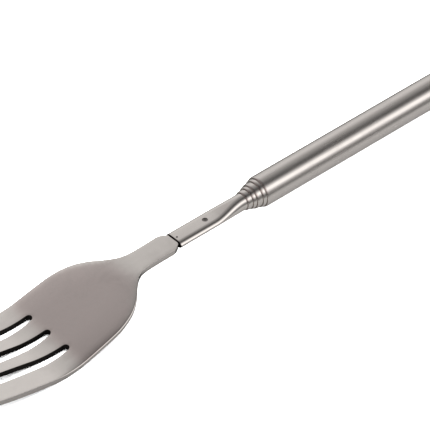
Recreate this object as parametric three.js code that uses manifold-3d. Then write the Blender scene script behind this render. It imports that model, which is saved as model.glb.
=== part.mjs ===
// Telescopic table fork in stainless steel, shown closed. Six round tubes slide inside one another:
// the handle tube and five stages. The smallest tube is pressed flat at its front end and grips the
// tang of a flat, four-tined head. A pair of bronze leaf springs rides on the rear of every sliding
// tube, rubs in the tube around it, and stops against that tube's rolled mouth.
// Millimetres, +X from the handle toward the tines, +Z up. X is laid out from the handle's mouth.

import * as THREE from 'three';
import Module from 'manifold-3d';
import { mergeVertices } from 'three/addons/utils/BufferGeometryUtils.js';

const wasm = await Module();
wasm.setup();

// Tubes
const HANDLE_RADIUS = 4.5;
const RADIUS_STEP = 0.415;
const WALL = 0.25;
const SIDES = 36;
const PIN_SIDES = 20;
const STAGE_MOUTHS = { 5: 1.15, 4: 2.85, 3: 3.95, 2: 5.55 };
const STAGES = 5;
const HANDLE_MOUTH = 0;
const HANDLE_REAR = -94;
const STAGE_REAR = -91.9;

// Rolled mouth, flared rear end. The mouth starts to bend LIP_BEND behind its edge.
const LIP_LENGTH = 0.8;
const LIP_BEND = 0.24;
const LIP_SLOPE = 0.2;
const LIP_GAP = 0.05;
const FLARE = 0.13;
const FLARE_LENGTH = 0.6;
const FLARE_SLOPE = 0.3;

// Leaf springs, one pair to a stage
const SPRING_LENGTH = 8;
const SPRING_OFFSET = 1;
const SPRING_GAP = 0.05;
const SPRING_THICKNESS = 0.08;
const SPRING_SPAN = 150;

// Front end of the smallest tube, pressed from round into a flat-topped oval
const SOCKET_END = 29.75;
const SOCKET_HALF_HEIGHT = 1.17;
const SOCKET_HALF_FLAT = 1.42;
const SOCKET_ARC_RADIUS = 1.95;
const SOCKET_SIDE_RADIUS = 0.4;
const FLATTEN_START = 6.4;
const FLATTEN_END = 17.1;
const FLATTEN_STEPS = 8;
const PIP = { x: 28.95, y: 0.3, radius: 0.2, bottom: 0.5 };

// Rivet through the flattened end and the tang
const RIVET_X = 18.8;
const RIVET_RADIUS = 0.65;
const RIVET_GAP = 0.05;
const RIVET_SINK = 0.08;

// End plug
const PLUG_FACE = -92;
const PLUG_FIT = 0.05;
const PLUG_RIM = 0.6;
const PLUG_DOME = 1.1;
const PLUG_FLAT_RADIUS = 3;
const PLUG_CHAMFER = 0.3;

// Head: a plate bent twice along its length
const PLATE = 1.66;
const NECK = { x: 31.7, top: 0.92, slope: -0.0227 };
const BENDS = [
  { x: 46.7, turn: -0.225, length: 7 },
  { x: 78.1, turn: 0.438, length: 11.5 },
  { x: 102, turn: 0.06, length: 24 },
];
const OUTLINE = [
  [33.3, 3.6], [38.5, 3.56], [42.8, 3.7], [45.6, 4.55], [48.3, 6.75], [51.2, 9.85], [54.6, 12.35],
  [58.9, 13.95], [64, 14.6], [76, 14.98], [90, 15.03], [104, 14.6], [122, 13.7],
];
const OUTLINE_STEPS = 4;

// Tang inside the flattened tube
const TANG = { rear: 16.4, front: 30.05, halfWidth: 2, halfHeight: 0.7 };
const SHOULDER = [[30.15, 2.25], [31.1, 2.95], [32, 3.4]];

// Slots and tines
const SLOT_START = 72.8;
const SLOT_RADIUS = 1.02;
const SLOT_GROWTH = 0.065;
const SLOT_REACH = 26;
const OUTER_SLOT_Y = 7.55;
const OUTER_SLOT_DRIFT = -0.022;
const TAPER_START = 104;
const INNER_TIP = 122;
const OUTER_TIP = 120.6;
const TIP_RADIUS = 0.85;
const TIP_THICKNESS = 0.95;
const TINE_STEPS = 12;
const ROUND_STEPS = 4;
const TIP_ANGLES = [30, 60, 82];

const brushedSteel = { color: 0xb9b4ae, roughness: 0.34, metalness: 1 };
const polishedSteel = { color: 0xc9c5c0, roughness: 0.2, metalness: 1 };
const bronze = { color: 0xb08d57, roughness: 0.45, metalness: 1 };

const group = new THREE.Group();

function addPiece(name, geometry, look) {
  const piece = new THREE.Mesh(geometry, new THREE.MeshStandardMaterial(look));
  piece.name = name;
  group.add(piece);
  return piece;
}

function geometryFrom(positions, index) {
  const geometry = new THREE.BufferGeometry();
  geometry.setAttribute('position', new THREE.Float32BufferAttribute(positions, 3));
  geometry.setIndex(index);
  geometry.computeVertexNormals();
  return geometry;
}

// --- Booleans ---

function toSolid(geometry) {
  const bare = geometry.clone();
  bare.deleteAttribute('normal');
  bare.deleteAttribute('uv');
  const merged = mergeVertices(bare, 1e-4);
  const vertProperties = new Float32Array(merged.attributes.position.array);
  const triVerts = new Uint32Array(merged.index.array);
  return new wasm.Manifold(new wasm.Mesh({ numProp: 3, vertProperties, triVerts }));
}

function cut(geometry, ...tools) {
  const solid = tools.reduce((rest, tool) => rest.subtract(toSolid(tool)), toSolid(geometry));
  const mesh = solid.getMesh();
  return geometryFrom(mesh.vertProperties, Array.from(mesh.triVerts));
}

function uprightPin(radius, bottom, top, x, y = 0) {
  const pin = new THREE.CylinderGeometry(radius, radius, top - bottom, PIN_SIDES);
  pin.rotateX(Math.PI / 2);
  pin.translate(x, y, (top + bottom) / 2);
  return pin;
}

// --- Tubes ---

// The point of a pressed section whose normal points at an angle. The section goes from a circle
// (flat = 0) to an oval (flat = 1): a flat, then a wide arc, then a rounded side. Inset moves the
// point inward along its normal.
function sectionPoint(angle, radius, flat, inset) {
  const { lerp } = THREE.MathUtils;
  const height = lerp(radius, SOCKET_HALF_HEIGHT, flat);
  const arcRadius = lerp(radius, SOCKET_ARC_RADIUS, flat);
  const sideRadius = lerp(radius, SOCKET_SIDE_RADIUS, flat);
  const meet = Math.asin((arcRadius - height) / (arcRadius - sideRadius));
  const out = Math.abs(Math.cos(angle));
  const up = Math.abs(Math.sin(angle));
  const onSide = up < Math.sin(meet);
  const r = onSide ? sideRadius : arcRadius;
  const shift = onSide ? (arcRadius - sideRadius) * Math.cos(meet) : 0;
  const y = flat * SOCKET_HALF_FLAT + shift + (r - inset) * out;
  const z = (onSide ? 0 : height - arcRadius) + (r - inset) * up;
  return [Math.sign(Math.cos(angle)) * y, Math.sign(Math.sin(angle)) * z];
}

// Skin through a closed loop of rings around the X axis. A ring is a circle of radius r, or the
// pressed section that such a circle turns into.
function ringLoop(rings) {
  const positions = [];
  const index = [];
  rings.forEach(({ x, r, flat = 0, inset = 0 }, j) => {
    const next = ((j + 1) % rings.length) * SIDES;
    for (let i = 0; i < SIDES; i += 1) {
      const angle = (2 * Math.PI * (i + 0.5)) / SIDES;
      if (flat > 0) positions.push(x, ...sectionPoint(angle, r, flat, inset));
      else positions.push(x, (r - inset) * Math.cos(angle), (r - inset) * Math.sin(angle));
      const beside = (i + 1) % SIDES;
      index.push(j * SIDES + i, j * SIDES + beside, next + beside);
      index.push(j * SIDES + i, next + beside, next + i);
    }
  });
  return geometryFrom(positions, index);
}

// The wall between an outer and an inner run of rings, both listed from rear to front.
function tubeWall(outer, inner) {
  return ringLoop([...outer, ...inner.reverse()]);
}

function rolledMouth(radius, mouth) {
  const inset = RADIUS_STEP - WALL - LIP_GAP;
  const lipBore = radius - WALL - inset;
  return {
    outer: [
      { x: mouth - LIP_LENGTH, r: radius },
      { x: mouth - LIP_BEND, r: radius - inset / 4 },
      { x: mouth, r: radius - inset },
    ],
    inner: [
      { x: mouth - LIP_LENGTH - LIP_SLOPE, r: radius - WALL },
      { x: mouth - LIP_LENGTH, r: lipBore },
      { x: mouth, r: lipBore },
    ],
  };
}

function flaredRear(radius, rear) {
  return [
    { x: rear, r: radius + FLARE },
    { x: rear + FLARE_LENGTH, r: radius + FLARE },
    { x: rear + FLARE_LENGTH + FLARE_SLOPE, r: radius },
  ];
}

const rivetHole = (reach) => uprightPin(RIVET_RADIUS + RIVET_GAP, -reach, reach, RIVET_X);

const stageRadius = (stage) => HANDLE_RADIUS - RADIUS_STEP * (STAGES + 1 - stage);

function stageTube(stage) {
  const radius = stageRadius(stage);
  const mouth = rolledMouth(radius, STAGE_MOUTHS[stage]);
  const outer = [...flaredRear(radius, STAGE_REAR), ...mouth.outer];
  const inner = [...flaredRear(radius - WALL, STAGE_REAR), ...mouth.inner];
  return tubeWall(outer, inner);
}

function handleTube() {
  const mouth = rolledMouth(HANDLE_RADIUS, HANDLE_MOUTH);
  const outer = [{ x: HANDLE_REAR, r: HANDLE_RADIUS }, ...mouth.outer];
  const inner = [{ x: HANDLE_REAR, r: HANDLE_RADIUS - WALL }, ...mouth.inner];
  return tubeWall(outer, inner);
}

// The smallest tube goes from round to flat along a smooth step.
function socketRings(inset) {
  const rings = [];
  for (let i = 0; i <= FLATTEN_STEPS; i += 1) {
    const x = THREE.MathUtils.lerp(FLATTEN_START, FLATTEN_END, i / FLATTEN_STEPS);
    const flat = THREE.MathUtils.smoothstep(x, FLATTEN_START, FLATTEN_END);
    rings.push({ x, r: stageRadius(1), flat, inset });
  }
  rings.push({ ...rings[FLATTEN_STEPS], x: SOCKET_END });
  return rings;
}

function socketTube() {
  const radius = stageRadius(1);
  const outer = [...flaredRear(radius, STAGE_REAR), ...socketRings(0)];
  const inner = [...flaredRear(radius - WALL, STAGE_REAR), ...socketRings(WALL)];
  const reach = SOCKET_HALF_HEIGHT + 1;
  const pipHole = uprightPin(PIP.radius, PIP.bottom, reach, PIP.x, PIP.y);
  return cut(tubeWall(outer, inner), rivetHole(reach), pipHole);
}

// --- Leaf springs ---

function leafSpring(stage, facing) {
  const inner = stageRadius(stage) + SPRING_GAP;
  const outer = inner + SPRING_THICKNESS;
  const half = THREE.MathUtils.degToRad(SPRING_SPAN / 2);
  const shape = new THREE.Shape();
  shape.absarc(0, 0, outer, facing - half, facing + half, false);
  shape.absarc(0, 0, inner, facing + half, facing - half, true);
  shape.closePath();
  const strip = new THREE.ExtrudeGeometry(shape, {
    depth: SPRING_LENGTH, steps: 1, bevelEnabled: false, curveSegments: 15,
  });
  strip.rotateX(Math.PI / 2);
  strip.rotateZ(Math.PI / 2);
  strip.translate(STAGE_REAR + SPRING_OFFSET, 0, 0);
  return strip;
}

// --- End plug ---

function endPlug() {
  const shank = HANDLE_RADIUS - WALL - PLUG_FIT;
  const rimFront = HANDLE_REAR - PLUG_FIT;
  const rimRear = rimFront - PLUG_RIM;
  const flat = rimRear - PLUG_DOME;
  const profile = [[0, flat], [PLUG_FLAT_RADIUS, flat]];
  for (const turn of [30, 60]) {
    const angle = THREE.MathUtils.degToRad(turn);
    const out = PLUG_FLAT_RADIUS + (HANDLE_RADIUS - PLUG_FLAT_RADIUS) * Math.sin(angle);
    profile.push([out, rimRear - PLUG_DOME * Math.cos(angle)]);
  }
  profile.push([HANDLE_RADIUS, rimRear], [HANDLE_RADIUS, rimFront], [shank, rimFront]);
  profile.push([shank, PLUG_FACE - PLUG_CHAMFER], [shank - PLUG_CHAMFER, PLUG_FACE], [0, PLUG_FACE]);
  const points = profile.map(([r, x]) => new THREE.Vector2(r, x));
  return new THREE.LatheGeometry(points, SIDES).rotateZ(-Math.PI / 2);
}

// --- Head ---

// Height gained by a bend: zero before it, a straight line after it, a parabola between.
function bendRise(x, { x: middle, turn, length }) {
  const run = THREE.MathUtils.clamp(x - middle + length / 2, 0, length);
  const beyond = Math.max(0, x - middle - length / 2);
  return turn * ((run * run) / (2 * length) + beyond);
}

function plateTop(x) {
  const straight = NECK.top + NECK.slope * (x - NECK.x);
  return BENDS.reduce((height, bend) => height + bendRise(x, bend), straight);
}

const outline = new THREE.SplineCurve(OUTLINE.map(([x, y]) => new THREE.Vector2(x, y)));
const outlinePoints = outline.getPoints((OUTLINE.length - 1) * OUTLINE_STEPS);

function halfWidth(x) {
  const after = outlinePoints.findIndex((point) => point.x > x);
  const [a, b] = [outlinePoints[after - 1], outlinePoints[after]];
  return THREE.MathUtils.mapLinear(x, a.x, b.x, a.y, b.y);
}

// Half the width of a slot: a round end, then a widening that fades out.
function slotHalf(x) {
  const depth = x - SLOT_START;
  const rounding = Math.min(depth, SLOT_RADIUS);
  const end = Math.sqrt(SLOT_RADIUS ** 2 - (SLOT_RADIUS - rounding) ** 2);
  const run = THREE.MathUtils.clamp(depth - SLOT_RADIUS, 0, SLOT_REACH);
  return end + SLOT_GROWTH * (run - run ** 2 / (2 * SLOT_REACH));
}

// The two edges of a tine before its tip is tapered. Tines are 0 (inner) and 1 (outer) on +Y.
function tineEdges(tine, x) {
  const half = slotHalf(x);
  const slot = OUTER_SLOT_Y + OUTER_SLOT_DRIFT * (x - SLOT_START);
  return tine === 0 ? [half, slot - half] : [slot + half, halfWidth(x)];
}

// One station across the plate: where it is, how high its two faces are, and the edges of each strip.
function tineStation(tine, x, tip) {
  const [near, far] = tineEdges(tine, Math.min(x, tip - TIP_RADIUS));
  const middle = (near + far) / 2;
  const taper = THREE.MathUtils.smoothstep(x, TAPER_START, tip - TIP_RADIUS);
  const past = Math.max(0, x - (tip - TIP_RADIUS));
  const rounding = Math.sqrt(1 - (past / TIP_RADIUS) ** 2);
  const half = THREE.MathUtils.lerp((far - near) / 2, TIP_RADIUS, taper) * rounding;
  const top = plateTop(x);
  return { x, top, bottom: top - THREE.MathUtils.lerp(PLATE, TIP_THICKNESS, taper), middle, half };
}

// Where the stations of one tine stand, crowded at the slot's round end and at the tip.
function tineStops(tip) {
  const stops = [];
  for (let i = 1; i <= ROUND_STEPS; i += 1) {
    const angle = (i / ROUND_STEPS) * (Math.PI / 2);
    stops.push(SLOT_START + SLOT_RADIUS * (1 - Math.cos(angle)));
  }
  const first = SLOT_START + SLOT_RADIUS;
  const last = tip - TIP_RADIUS;
  for (let i = 1; i <= TINE_STEPS; i += 1) stops.push(THREE.MathUtils.lerp(first, last, i / TINE_STEPS));
  for (const turn of TIP_ANGLES) stops.push(last + TIP_RADIUS * Math.sin(THREE.MathUtils.degToRad(turn)));
  return stops;
}

function forkHead() {
  const positions = [];
  const faces = [];
  const addPoint = (x, y, top, bottom) => {
    positions.push(x, y, top, x, y, bottom);
    return positions.length / 3 - 2;
  };

  // Five points across each station, from the -Y edge to the +Y edge.
  const across = [-1, -OUTER_SLOT_Y / halfWidth(SLOT_START), 0, OUTER_SLOT_Y / halfWidth(SLOT_START), 1];
  const addRow = (x, half, top, bottom) => across.map((part) => addPoint(x, part * half, top, bottom));
  const join = (a, b, c, d) => faces.push([a, b, c], [a, c, d]);

  const rows = [];
  for (const x of [TANG.rear, TANG.front]) {
    rows.push(addRow(x, TANG.halfWidth, TANG.halfHeight, -TANG.halfHeight));
  }
  const plateRow = (x, half) => rows.push(addRow(x, half, plateTop(x), plateTop(x) - PLATE));
  for (const [x, half] of SHOULDER) plateRow(x, half);
  for (const point of outlinePoints) {
    if (point.x < SLOT_START - SLOT_RADIUS / 2) plateRow(point.x, point.y);
  }
  plateRow(SLOT_START, halfWidth(SLOT_START));
  for (let j = 1; j < rows.length; j += 1) {
    const [rear, front] = [rows[j - 1], rows[j]];
    for (let i = 1; i < across.length; i += 1) join(rear[i - 1], front[i - 1], front[i], rear[i]);
  }

  const root = rows[rows.length - 1];
  for (const side of [-1, 1]) {
    for (const tine of [0, 1]) {
      const tip = tine === 0 ? INNER_TIP : OUTER_TIP;
      let [near, far] = [root[2 + side * tine], root[2 + side * (tine + 1)]];
      for (const x of tineStops(tip)) {
        const { top, bottom, middle, half } = tineStation(tine, x, tip);
        const nextNear = addPoint(x, side * (middle - half), top, bottom);
        const nextFar = addPoint(x, side * (middle + half), top, bottom);
        if (side > 0) join(near, nextNear, nextFar, far);
        else join(far, nextFar, nextNear, near);
        [near, far] = [nextNear, nextFar];
      }
    }
  }
  return closedPlate(positions, faces);
}

// Closes a plate from the faces of its top: the underside is the same faces turned over, and every
// edge that only one face uses gets a wall. A point's twin on the underside comes right after it.
function closedPlate(positions, faces) {
  const index = [];
  const edges = new Set();
  for (const [a, b, c] of faces) {
    index.push(a, b, c, a + 1, c + 1, b + 1);
    for (const [from, to] of [[a, b], [b, c], [c, a]]) edges.add(`${from} ${to}`);
  }
  for (const edge of edges) {
    const [from, to] = edge.split(' ').map(Number);
    if (!edges.has(`${to} ${from}`)) index.push(from, from + 1, to + 1, from, to + 1, to);
  }
  return geometryFrom(positions, index);
}

// --- Assembly ---

addPiece('handle_tube', handleTube(), brushedSteel);
addPiece('handle_end_plug', endPlug(), polishedSteel);
for (let stage = STAGES; stage > 1; stage -= 1) {
  addPiece(`stage_${stage}_tube`, stageTube(stage), polishedSteel);
}
addPiece('stage_1_tube', socketTube(), brushedSteel);
for (let stage = STAGES; stage >= 1; stage -= 1) {
  addPiece(`stage_${stage}_spring_left`, leafSpring(stage, 0), bronze);
  addPiece(`stage_${stage}_spring_right`, leafSpring(stage, Math.PI), bronze);
}
addPiece('fork_head', cut(forkHead(), rivetHole(PLATE)), brushedSteel);
const rivetEnd = SOCKET_HALF_HEIGHT - RIVET_SINK;
addPiece('tang_rivet', uprightPin(RIVET_RADIUS, -rivetEnd, rivetEnd, RIVET_X), polishedSteel);

// The part's origin is at the bottom centre of its box.
const box = new THREE.Box3().setFromObject(group);
group.position.set(-(box.min.x + box.max.x) / 2, 0, -box.min.z);

export default group;
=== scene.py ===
"""Looks for a telescopic table fork: turned steel tubes, a pressed socket, a four-tined plate head.

Lengths are in metres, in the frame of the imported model: +X from the handle toward the tines, +Z up.
The tubes share one axis, and every length along it is told from the plane of the handle's mouth.
"""

import math

import bmesh
import bpy
from bpy.props import FloatProperty, FloatVectorProperty, IntProperty, PointerProperty
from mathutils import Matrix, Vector
from mathutils.geometry import delaunay_2d_cdt


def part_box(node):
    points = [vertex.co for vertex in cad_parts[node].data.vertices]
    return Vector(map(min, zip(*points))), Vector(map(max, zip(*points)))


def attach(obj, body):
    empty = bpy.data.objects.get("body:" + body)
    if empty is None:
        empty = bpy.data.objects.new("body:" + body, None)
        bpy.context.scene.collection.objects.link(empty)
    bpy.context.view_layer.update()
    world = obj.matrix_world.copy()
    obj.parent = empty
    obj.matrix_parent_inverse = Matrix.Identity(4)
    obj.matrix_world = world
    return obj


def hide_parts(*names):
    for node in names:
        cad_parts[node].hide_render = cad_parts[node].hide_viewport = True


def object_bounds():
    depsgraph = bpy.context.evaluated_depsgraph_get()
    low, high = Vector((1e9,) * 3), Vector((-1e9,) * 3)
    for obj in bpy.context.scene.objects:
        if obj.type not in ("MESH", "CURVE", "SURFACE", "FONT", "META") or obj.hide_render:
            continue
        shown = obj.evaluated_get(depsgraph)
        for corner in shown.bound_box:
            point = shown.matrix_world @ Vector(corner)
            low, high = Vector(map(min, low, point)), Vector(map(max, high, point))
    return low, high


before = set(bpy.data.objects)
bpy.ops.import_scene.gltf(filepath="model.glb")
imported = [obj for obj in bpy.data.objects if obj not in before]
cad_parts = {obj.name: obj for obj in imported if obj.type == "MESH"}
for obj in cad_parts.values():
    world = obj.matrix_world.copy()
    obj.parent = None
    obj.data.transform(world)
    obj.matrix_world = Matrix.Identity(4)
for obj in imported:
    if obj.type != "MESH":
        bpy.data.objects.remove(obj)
CAD_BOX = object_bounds()

bl_info = {
    "name": "Telescopic fork",
    "version": (1, 0, 0),
    "blender": (4, 5, 0),
    "location": "View3D > Sidebar > Telescopic fork",
    "description": "Builds the steel tubes, head, springs and studio of a telescopic fork",
    "category": "Add Mesh",
}

MM = 0.001
MERGE_DISTANCE = 1e-7
FLOOR_GAP = 0.1 * MM
# How late a rolled mouth curves in: 1 is a straight cone.
LIP_CURL = 2.2
ROUND_STAGES = (5, 4, 3, 2)

# The tubes' axis and the handle's mouth, as the frame has them.
PLUG_LOW, PLUG_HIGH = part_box("handle_end_plug")
MOUTH_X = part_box("handle_tube")[1].x
AXIS_Z = (PLUG_LOW.z + PLUG_HIGH.z) / 2
HANDLE_RADIUS = (PLUG_HIGH.z - PLUG_LOW.z) / 2


# Sizes and colours that a user would change

def measure(name, description, default):
    """A length that a user may change."""
    return FloatProperty(name=name, description=description, default=default, unit="LENGTH")


def tint(name, description, default):
    """A colour that a user may change."""
    return FloatVectorProperty(
        name=name, description=description, default=default, subtype="COLOR", min=0, max=1)


class TubeSizes(bpy.types.PropertyGroup):
    handle_radius: measure("Handle radius", "Outer radius of the handle tube", HANDLE_RADIUS)
    radius_step: measure(
        "Radius step", "How much smaller each tube is than the one around it", 0.415 * MM)
    wall: measure("Wall", "Thickness of every tube", 0.25 * MM)
    lip_length: measure("Lip length", "How far back a tube's mouth is rolled in", 0.8 * MM)
    lip_inset: measure("Lip inset", "How far a tube's mouth is rolled in", 0.11 * MM)
    flare: measure("Flare", "How much the rear end of a sliding tube is opened", 0.12 * MM)
    flare_length: measure("Flare length", "Length of the opened rear end", 0.6 * MM)
    sides: IntProperty(name="Sides", description="Steps around every tube", default=128, min=16)


class SocketSizes(bpy.types.PropertyGroup):
    half_height: measure("Half height", "Half the height of the flattened end", 1.17 * MM)
    half_flat: measure("Half flat", "Half the width of the flat on top of the flattened end", 1.42 * MM)
    arc_radius: measure("Arc radius", "Radius of the wide arc beside the flat", 1.95 * MM)
    side_radius: measure("Side radius", "Radius of the rounded side", 0.4 * MM)
    end: measure("End", "Where the flattened end stops", 29.75 * MM)
    flat_start: measure("Flat start", "Where the tube is fully flattened", 17.1 * MM)
    round_end: measure("Round end", "Where the tube stops being round", 6.4 * MM)
    rivet_x: measure("Rivet place", "Where the rivet stands", 18.8 * MM)
    rivet_radius: measure("Rivet radius", "Radius of the rivet", 0.74 * MM)
    rivet_sink: measure("Rivet sink", "How far the rivet's ends are below the flat", 0.16 * MM)
    pip_x: measure("Pip place", "Where the small pin hole is", 28.95 * MM)
    pip_y: measure("Pip offset", "How far the pin hole is off the middle", 0.3 * MM)
    pip_radius: measure("Pip radius", "Radius of the small pin hole", 0.27 * MM)


class HeadSizes(bpy.types.PropertyGroup):
    plate: measure("Plate", "Thickness of the head", 1.66 * MM)
    tip_thickness: measure("Tip thickness", "Thickness at the tines' tips", 0.95 * MM)
    edge_round: measure("Edge rounding", "Radius of the edges of the neck and the tines", 0.15 * MM)
    bowl_round: measure("Bowl rounding", "Radius of the bowl's outer edges", 0.42 * MM)
    dome_width: measure("Dome width", "How far in the bowl's top falls away to its edge", 2.2 * MM)
    dome_drop: measure("Dome drop", "How much lower the bowl's edge is than its middle", 0.42 * MM)
    slot_start: measure("Slot start", "Where the slots between the tines begin", 72.8 * MM)
    slot_radius: measure("Slot end radius", "Radius of a slot's round end", 1.02 * MM)
    slot_growth: FloatProperty(
        name="Slot growth", description="How fast half a slot widens at first", default=0.065)
    slot_reach: measure("Slot reach", "How far along a slot the widening fades out", 26 * MM)
    tip_radius: measure("Tip radius", "Radius of a tine's tip", 0.85 * MM)


class SpringSizes(bpy.types.PropertyGroup):
    length: measure("Length", "Length of a leaf spring", 8 * MM)
    gap: measure("Gap", "Gap between a spring's ends and the tube inside it", 0.05 * MM)
    thickness: measure("Thickness", "Thickness of the strip", 0.08 * MM)
    bow: measure("Bow", "How far the middle of a spring stands out", 0.015 * MM)
    span: FloatProperty(
        name="Span", description="How far a spring reaches around the tube",
        default=math.radians(150), subtype="ANGLE")
    count: IntProperty(name="Count", description="Springs on one tube", default=2, min=1)


class Finishes(bpy.types.PropertyGroup):
    steel: tint("Steel", "Colour of the brushed steel", (0.705, 0.659, 0.624))
    worn_steel: tint("Worn steel", "Colour of the steel where it is dull", (0.605, 0.565, 0.535))
    # Near black: painted shade for the slot walls, the tang, the socket's inside and the holes, which lie
    # in shadow.
    cut_steel_shade: tint("Cut steel", "Colour of the punched walls of the slots", (0.055, 0.05, 0.047))
    bronze: tint("Bronze", "Colour of the springs", (0.62, 0.40, 0.20))
    floor: tint("Floor", "Colour of the floor", (0.93, 0.93, 0.93))


SETTINGS = {
    "fork_tubes": TubeSizes,
    "fork_socket": SocketSizes,
    "fork_head": HeadSizes,
    "fork_springs": SpringSizes,
    "fork_finishes": Finishes,
}

# The head's side view: three bends, each with its place, its change of slope and its length.
NECK_X, NECK_TOP, NECK_SLOPE = 31.7 * MM, 0.92 * MM, -0.0227
BENDS = (
    (46.7 * MM, -0.225, 7 * MM),
    (78.1 * MM, 0.438, 11.5 * MM),
    (102 * MM, 0.06, 24 * MM),
)
# The head's plan on its +Y side, from the shoulder beside the socket to the outer tine.
OUTLINE_MM = (
    (33.3, 3.6), (38.5, 3.56), (42.8, 3.7), (45.6, 4.55), (48.3, 6.75), (51.2, 9.85), (54.6, 12.35),
    (58.9, 13.95), (64, 14.6), (76, 14.98), (90, 15.03), (104, 14.6), (122, 13.7),
)
# The corner of the shoulder, ahead of the tang.
SHOULDER_MM = ((30.15, 2.25), (31.1, 2.95), (32, 3.4))
TANG_REAR, TANG_FRONT = 16.4 * MM, 30.05 * MM
TANG_HALF_WIDTH, TANG_HALF_HEIGHT = 2 * MM, 0.7 * MM
# The middle of the outer slot where it begins, and how it drifts inward along the tines.
OUTER_SLOT_Y, OUTER_SLOT_DRIFT = 7.55 * MM, -0.022
# Where the tines begin to taper, and where the inner and the outer tine end.
TAPER_START = 104 * MM
TIPS = (122 * MM, 120.6 * MM)
# Where the bowl's dome and its rounder edge begin, are full, begin to fade and end.
DOME_STOPS = (44 * MM, 52 * MM, 72 * MM, 84 * MM)
ROUNDING_STOPS = (46 * MM, 54 * MM, 76 * MM, 86 * MM)


# Meshes

def add_object(name, mesh):
    piece = bpy.data.objects.new(name, mesh)
    bpy.context.scene.collection.objects.link(piece)
    return piece


def settle(piece):
    """Makes the piece's evaluated shape its own plain mesh and clears its modifiers."""
    bpy.context.view_layer.update()
    shape = piece.evaluated_get(bpy.context.evaluated_depsgraph_get())
    mesh = bpy.data.meshes.new_from_object(shape)
    piece.modifiers.clear()
    piece.data = mesh


def tidy_normals(mesh, crease=math.radians(40)):
    """Merges doubles, points the faces out of the closed shape and shades it smooth."""
    shape = bmesh.new()
    shape.from_mesh(mesh)
    bmesh.ops.remove_doubles(shape, verts=shape.verts, dist=MERGE_DISTANCE)
    bmesh.ops.recalc_face_normals(shape, faces=shape.faces)
    shape.to_mesh(mesh)
    shape.free()
    mesh.shade_smooth()
    mesh.set_sharp_from_angle(angle=crease)


def mark(mesh, name, values):
    """Gives each face a value under a name, for its finish to read."""
    mesh.attributes.new(name, "FLOAT", "FACE").data.foreach_set("value", values)


def hand_over(piece, body, slot, *nodes):
    """The finished piece rides on its body and stands for its nodes."""
    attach(piece, body)
    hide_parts(*nodes)


def arc(centre, radius, start, end, steps):
    """Points of an arc in the plane of (along, out), from start to end in degrees."""
    points = []
    for i in range(steps + 1):
        angle = math.radians(start + (end - start) * i / steps)
        points.append((centre[0] + radius * math.cos(angle), centre[1] + radius * math.sin(angle)))
    return points


# Geometry Nodes

def new_tree(kind, name, inputs, outputs):
    """A tree with named inputs, each with its kind and value, and named outputs, each with its kind."""
    tree = bpy.data.node_groups.new(name, kind)
    for label, socket_kind, *value in inputs:
        socket = tree.interface.new_socket(
            label, in_out="INPUT", socket_type=f"NodeSocket{socket_kind}")
        if value:
            socket.default_value = value[0]
    for label, socket_kind in outputs:
        tree.interface.new_socket(label, in_out="OUTPUT", socket_type=f"NodeSocket{socket_kind}")
    return tree


def node(tree, kind, inputs=None, **settings):
    """A new node with its settings, and its inputs set to values or linked from sockets."""
    made = tree.nodes.new(kind)
    for key, value in settings.items():
        setattr(made, key, value)
    for key, value in (inputs or {}).items():
        socket = made.inputs[key]
        if isinstance(value, bpy.types.NodeSocket):
            tree.links.new(value, socket)
        else:
            socket.default_value = value
    return made


def maths(tree, operation, *values):
    return node(tree, "ShaderNodeMath", dict(enumerate(values)), operation=operation).outputs[0]


def vector_maths(tree, operation, *values):
    return node(tree, "ShaderNodeVectorMath", dict(enumerate(values)), operation=operation).outputs[0]


def product(tree, first, *others):
    for value in others:
        first = maths(tree, "MULTIPLY", first, value)
    return first


def split(tree, vector):
    """The X, Y and Z of a vector."""
    return node(tree, "ShaderNodeSeparateXYZ", {0: vector}).outputs


def joined(tree, **parts):
    """A vector from its X, Y and Z."""
    return node(tree, "ShaderNodeCombineXYZ", parts).outputs[0]


def made_by(tree, kind, inputs):
    """What a geometry node of this kind puts out first."""
    return node(tree, f"GeometryNode{kind}", inputs).outputs[0]


def finish_tree(tree, geometry, material):
    """Every tree ends in Realize Instances and Set Material."""
    plain = made_by(tree, "RealizeInstances", {"Geometry": geometry})
    dressed = made_by(tree, "SetMaterial", {"Geometry": plain, "Material": material})
    node(tree, "NodeGroupOutput", {"Geometry": dressed})


def apply_tree(piece, tree, **values):
    """Runs the tree on the piece with its inputs set by their identifiers, and keeps the result."""
    modifier = piece.modifiers.new(tree.name, "NODES")
    modifier.node_group = tree
    names = {item.name: item.identifier for item in tree.interface.items_tree
             if item.in_out == "INPUT"}
    for name, value in values.items():
        modifier[names[name.replace("_", " ")]] = value
    settle(piece)


def turning_tree():
    """Turns a profile around the X axis. The profile's X is out from Radius, its Y is along the axis."""
    tree = new_tree("GeometryNodeTree", "Turning", [
        ("Geometry", "Geometry"), ("Radius", "Float", 0.0045), ("Height", "Float", 0.0),
        ("Sides", "Int", 128), ("Material", "Material")], [("Geometry", "Geometry")])
    given = node(tree, "NodeGroupInput").outputs
    profile = made_by(tree, "MeshToCurve", {"Mesh": given["Geometry"]})
    circle = made_by(tree, "CurvePrimitiveCircle",
                     {"Resolution": given["Sides"], "Radius": given["Radius"]})
    swept = made_by(tree, "CurveToMesh", {"Curve": circle, "Profile Curve": profile})
    merged = made_by(tree, "MergeByDistance", {"Geometry": swept, "Distance": MERGE_DISTANCE})
    laid = made_by(tree, "Transform", {
        "Geometry": merged, "Rotation": (0, math.pi / 2, 0),
        "Translation": joined(tree, Z=given["Height"])})
    finish_tree(tree, laid, given["Material"])
    return tree


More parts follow.
